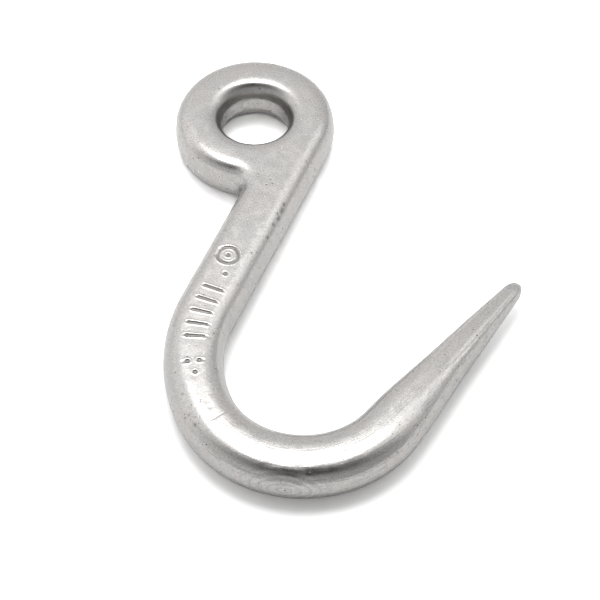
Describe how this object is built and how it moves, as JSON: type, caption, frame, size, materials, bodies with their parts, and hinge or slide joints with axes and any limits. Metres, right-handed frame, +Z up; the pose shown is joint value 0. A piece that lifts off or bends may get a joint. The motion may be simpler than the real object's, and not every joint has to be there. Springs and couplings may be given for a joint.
{
  "type": "meat hook",
  "caption": "Forged stainless steel hook with a round eye set to one side of a straight shank, a deep rounded bowl and a long tapered point, for hanging and moving meat.",
  "frame": {"origin": "middle of the bounding box at the level of the surface the hook lies on", "axes": "+Z up out of the surface, square to the flat sides of the forging; +Y along the shank towards the eye; +X from the shank towards the point"},
  "size_m": [0.1366, 0.164, 0.016],
  "materials": {
    "satin_stainless": "tumbled satin stainless steel with small pits and handling marks"
  },
  "bodies": {
    "root": {"hook_forging": "satin_stainless"}
  },
  "joints": []
}
